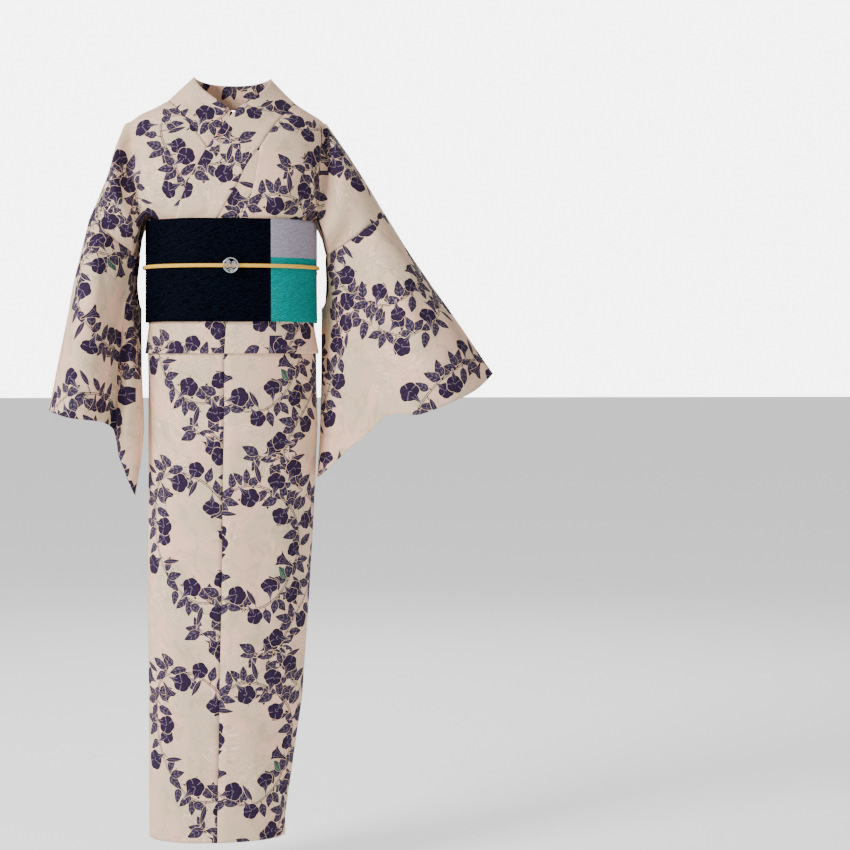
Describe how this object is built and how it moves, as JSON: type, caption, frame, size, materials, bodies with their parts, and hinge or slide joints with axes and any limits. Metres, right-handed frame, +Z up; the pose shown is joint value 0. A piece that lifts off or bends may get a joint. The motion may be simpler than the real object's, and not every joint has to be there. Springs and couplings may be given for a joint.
{
  "type": "cotton yukata robe",
  "caption": "Summer cotton kimono robe in pinkish beige with a purple morning glory vine print, worn closed with a flat belt, a braided cord and a round clasp",
  "frame": {"origin": "centre of the neck's base, where the robe hangs on its wearer's shoulders", "axes": "+X towards the wearer's left, -Y towards the front, +Z up"},
  "size_m": [0.7421, 0.2975, 1.2955],
  "materials": {
    "cotton_print": "plain woven cotton, pinkish beige with an ink purple vine print",
    "obi_weave": "navy woven belt with a grey and a teal block",
    "cord_braid": "flat braided gold cord",
    "clasp_silver": "polished silver-coloured openwork"
  },
  "bodies": {
    "root": {"body_left": "cotton_print", "body_right": "cotton_print", "body_left_hip_front": "cotton_print", "body_left_leg_front": "cotton_print", "body_left_hip_back": "cotton_print", "body_left_leg_back": "cotton_print", "body_right_hip_front": "cotton_print", "body_right_leg_front": "cotton_print", "body_right_hip_back": "cotton_print", "body_right_leg_back": "cotton_print", "okumi_left": "cotton_print", "okumi_left_hip": "cotton_print", "okumi_left_leg": "cotton_print", "okumi_right": "cotton_print", "okumi_right_hip": "cotton_print", "okumi_right_leg": "cotton_print", "sleeve_left": "cotton_print", "sleeve_right": "cotton_print", "collar": "cotton_print", "obi_wrap": "obi_weave", "obi_knot": "obi_weave", "obi_knot_band": "obi_weave", "obi_cord": "cord_braid", "obi_clasp": "clasp_silver"}
  },
  "joints": []
}
